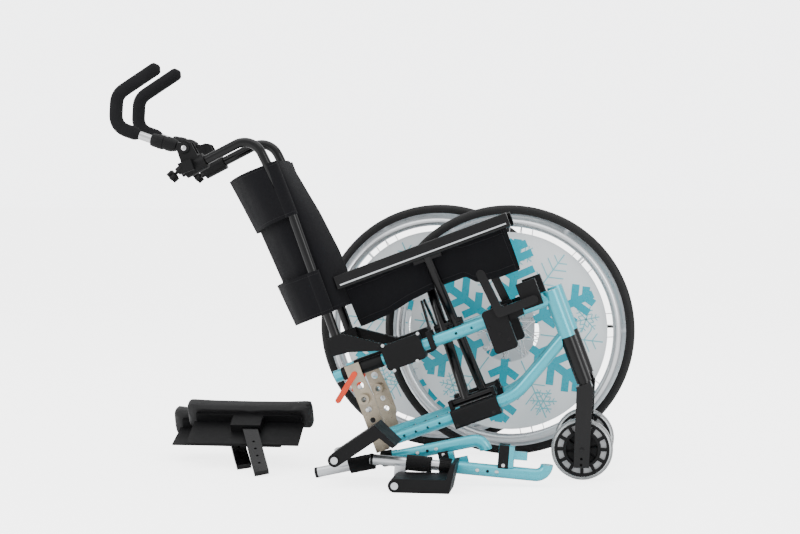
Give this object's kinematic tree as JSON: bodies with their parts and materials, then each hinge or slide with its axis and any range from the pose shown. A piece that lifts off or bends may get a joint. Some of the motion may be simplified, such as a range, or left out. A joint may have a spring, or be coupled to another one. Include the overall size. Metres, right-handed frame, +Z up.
{
  "type": "manual wheelchair",
  "caption": "Folding cross-brace child's wheelchair, folded and tipped back, with its rear wheels, leg rests and armrests taken off and laid around it.",
  "frame": {"origin": "on the floor, under the middle of the object's box", "axes": "+X towards the chair's front, +Y towards the rider's left, +Z up"},
  "size_m": [1.2132, 0.753, 0.9522],
  "materials": {
    "frame_paint": "gloss",
    "black_plastic": "satin",
    "black_metal": "satin",
    "black_fabric": "matte",
    "zinc_plate": "satin",
    "orange_plastic": "gloss",
    "castor_rubber": "satin",
    "tyre_rubber": "matte",
    "silver_metal": "satin",
    "bright_steel": "gloss",
    "guard_plastic": "gloss",
    "pad_foam": "matte"
  },
  "bodies": {
    "right_side": {"side_frame_right": "frame_paint", "axle_plate_right": "zinc_plate", "rail_fittings_right": "black_plastic", "brace_block_right": "black_plastic", "cane_right": "black_metal", "castor_housing_right": "black_plastic", "brake_body_right": "black_plastic", "handle_clamp_right": "black_plastic", "back_sling": "black_fabric"},
    "left_side": {"side_frame_left": "frame_paint", "axle_plate_left": "zinc_plate", "rail_fittings_left": "black_plastic", "brace_block_left": "black_plastic", "cane_left": "black_metal", "castor_housing_left": "black_plastic", "brake_body_left": "black_plastic", "handle_clamp_left": "black_plastic"},
    "brace_a": {"brace_tube_a": "black_metal", "seat_rail_a": "black_metal", "seat_sling": "black_fabric"},
    "brace_b": {"brace_tube_b": "black_metal", "seat_rail_b": "black_metal"},
    "stay_link_left": {"stay_link_left": "black_metal"},
    "castor_fork_left": {"castor_fork_left": "black_metal"},
    "castor_wheel_left": {"castor_wheel_left": "castor_rubber"},
    "push_handle_left": {"handle_arm_left": "black_metal"},
    "star_knob_left": {"star_knob_left": "black_plastic"},
    "brake_lever_left": {"brake_lever_left": "black_metal"},
    "release_lever_left": {"release_lever_left": "orange_plastic"},
    "stay_link_right": {"stay_link_right": "black_metal"},
    "castor_fork_right": {"castor_fork_right": "black_metal"},
    "castor_wheel_right": {"castor_wheel_right": "castor_rubber"},
    "push_handle_right": {"handle_arm_right": "black_metal"},
    "star_knob_right": {"star_knob_right": "black_plastic"},
    "brake_lever_right": {"brake_lever_right": "black_metal"},
    "release_lever_right": {"release_lever_right": "orange_plastic"},
    "axle_right": {"wheel_axle_pin_right": "bright_steel"},
    "rear_wheel_right": {"wheel_tyre_right": "tyre_rubber", "wheel_rim_right": "silver_metal", "wheel_hub_right": "bright_steel", "wheel_spoke_guard_right": "guard_plastic"},
    "axle_left": {"wheel_axle_pin_left": "bright_steel"},
    "rear_wheel_left": {"wheel_tyre_left": "tyre_rubber", "wheel_rim_left": "silver_metal", "wheel_hub_left": "bright_steel", "wheel_spoke_guard_left": "guard_plastic"},
    "hanger_right": {"hanger_right": "frame_paint"},
    "leg_extension_right": {"leg_extension_right": "silver_metal", "heel_loop_right": "black_fabric"},
    "footplate_right": {"footplate_right": "black_plastic"},
    "hanger_left": {"hanger_left": "frame_paint"},
    "leg_extension_left": {"leg_extension_left": "silver_metal", "heel_loop_left": "black_fabric"},
    "footplate_left": {"footplate_left": "black_plastic"},
    "armrest_right": {"arm_pad_right": "pad_foam", "arm_panel_right": "black_plastic"},
    "arm_post_right": {"arm_post_right": "black_metal"},
    "armrest_left": {"arm_pad_left": "pad_foam", "arm_panel_left": "black_plastic"},
    "arm_post_left": {"arm_post_left": "black_metal"}
  },
  "joints": [
    {"name": "fold", "type": "hinge", "parent": "right_side", "child": "brace_a", "pos_m": [0.23817, -0.115, 0.17813], "axis": [-0.9367, 0, -0.3502], "range_deg": [0, 33], "deforming": ["seat_sling"]},
    {"name": "brace_crossing", "type": "hinge", "parent": "brace_a", "child": "brace_b", "pos_m": [0.17774, -0.0555, 0.33976], "axis": [-0.9367, 0, -0.3502], "range_deg": [-66, 0]},
    {"name": "side_spread", "type": "slide", "parent": "right_side", "child": "left_side", "axis": [0, 1, 0], "range_m": [0, 0.169], "deforming": ["back_sling"]},
    {"name": "stay_link_left_turn", "type": "hinge", "parent": "left_side", "child": "stay_link_left", "pos_m": [0.14468, 0.0085, 0.32253], "axis": [0.9367, 0, 0.3502], "range_deg": [0, 70]},
    {"name": "castor_swivel_left", "type": "hinge", "parent": "left_side", "child": "castor_fork_left", "pos_m": [0.48648, 0.0345, 0.24214], "axis": [-0.3502, 0, 0.9367], "continuous": true},
    {"name": "castor_roll_left", "type": "hinge", "parent": "castor_fork_left", "child": "castor_wheel_left", "pos_m": [0.49017, 0.0345, 0.0695], "axis": [0, 1, 0], "continuous": true},
    {"name": "push_handle_left_angle", "type": "hinge", "parent": "left_side", "child": "push_handle_left", "pos_m": [-0.42478, 0.0345, 0.74912], "axis": [0, 1, 0], "range_deg": [-35, 15]},
    {"name": "star_knob_left_turn", "type": "hinge", "parent": "left_side", "child": "star_knob_left", "pos_m": [-0.43735, 0.0585, 0.69424], "axis": [-0.744, 0, -0.6682], "continuous": true},
    {"name": "brake_lever_left_turn", "type": "hinge", "parent": "left_side", "child": "brake_lever_left", "pos_m": [0.3066, 0.0745, 0.37773], "axis": [0, 1, 0], "range_deg": [-20, 15]},
    {"name": "release_lever_left_turn", "type": "hinge", "parent": "left_side", "child": "release_lever_left", "pos_m": [-0.02676, 0.0545, 0.23281], "axis": [0, 1, 0], "range_deg": [0, 50]},
    {"name": "stay_link_right_turn", "type": "hinge", "parent": "right_side", "child": "stay_link_right", "pos_m": [0.14468, -0.1195, 0.32253], "axis": [-0.9367, 0, -0.3502], "range_deg": [0, 70]},
    {"name": "castor_swivel_right", "type": "hinge", "parent": "right_side", "child": "castor_fork_right", "pos_m": [0.48648, -0.1455, 0.24214], "axis": [-0.3502, 0, 0.9367], "continuous": true},
    {"name": "castor_roll_right", "type": "hinge", "parent": "castor_fork_right", "child": "castor_wheel_right", "pos_m": [0.49017, -0.1455, 0.0695], "axis": [0, 1, 0], "continuous": true},
    {"name": "push_handle_right_angle", "type": "hinge", "parent": "right_side", "child": "push_handle_right", "pos_m": [-0.42478, -0.1455, 0.74912], "axis": [0, 1, 0], "range_deg": [-35, 15]},
    {"name": "star_knob_right_turn", "type": "hinge", "parent": "right_side", "child": "star_knob_right", "pos_m": [-0.43735, -0.1695, 0.69424], "axis": [-0.744, 0, -0.6682], "continuous": true},
    {"name": "brake_lever_right_turn", "type": "hinge", "parent": "right_side", "child": "brake_lever_right", "pos_m": [0.3066, -0.1855, 0.37773], "axis": [0, 1, 0], "range_deg": [-20, 15]},
    {"name": "release_lever_right_turn", "type": "hinge", "parent": "right_side", "child": "release_lever_right", "pos_m": [-0.02676, -0.1655, 0.23281], "axis": [0, 1, 0], "range_deg": [0, 50]},
    {"name": "rear_wheel_right_away", "type": "slide", "parent": "left_side", "child": "axle_right", "axis": [0, -1, 0], "range_m": [0, 0.06]},
    {"name": "rear_wheel_right_roll", "type": "hinge", "parent": "axle_right", "child": "rear_wheel_right", "pos_m": [0.29863, 0.2045, 0.308], "axis": [0, 1, 0], "continuous": true},
    {"name": "rear_wheel_left_away", "type": "slide", "parent": "left_side", "child": "axle_left", "axis": [0, 1, 0], "range_m": [0, 0.1]},
    {"name": "rear_wheel_left_roll", "type": "hinge", "parent": "axle_left", "child": "rear_wheel_left", "pos_m": [0.11563, 0.3145, 0.308], "axis": [0, 1, 0], "continuous": true},
    {"name": "leg_rest_right_away", "type": "slide", "parent": "right_side", "child": "hanger_right", "axis": [0, -1, 0], "range_m": [0, 0.15]},
    {"name": "leg_extension_right_length", "type": "slide", "parent": "hanger_right", "child": "leg_extension_right", "axis": [-0.9972, 0, 0.075], "range_m": [0, 0.03]},
    {"name": "footplate_right_flip", "type": "hinge", "parent": "leg_extension_right", "child": "footplate_right", "pos_m": [0.09505, -0.3235, 0.015], "axis": [0, 1, 0], "range_deg": [0, 90]},
    {"name": "leg_rest_left_away", "type": "slide", "parent": "right_side", "child": "hanger_left", "axis": [0, 0, 1], "range_m": [0, 0.1]},
    {"name": "leg_extension_left_length", "type": "slide", "parent": "hanger_left", "child": "leg_extension_left", "axis": [-0.9759, 0, -0.2181], "range_m": [0, 0.06]},
    {"name": "footplate_left_flip", "type": "hinge", "parent": "leg_extension_left", "child": "footplate_left", "pos_m": [-0.04491, -0.2765, 0.05957], "axis": [0, -1, 0], "range_deg": [0, 68]},
    {"name": "armrest_right_away", "type": "slide", "parent": "right_side", "child": "armrest_right", "axis": [0, -1, 0], "range_m": [0, 0.15]},
    {"name": "arm_post_right_height", "type": "slide", "parent": "armrest_right", "child": "arm_post_right", "axis": [0.342, -0.8219, -0.4556], "range_m": [0, 0.05]},
    {"name": "armrest_left_away", "type": "slide", "parent": "right_side", "child": "armrest_left", "axis": [0, 1, 0], "range_m": [0, 0.12]},
    {"name": "arm_post_left_height", "type": "slide", "parent": "armrest_left", "child": "arm_post_left", "axis": [0.342, -0.883, -0.3214], "range_m": [0, 0.05]}
  ],
  "couplings": [
    {"joint": "brace_crossing", "follows": "fold", "ratio": -2},
    {"joint": "side_spread", "follows": "fold", "m_per_rad": 0.29306},
    {"joint": "stay_link_left_turn", "follows": "fold", "ratio": 2.1},
    {"joint": "stay_link_right_turn", "follows": "fold", "ratio": 2.1}
  ]
}
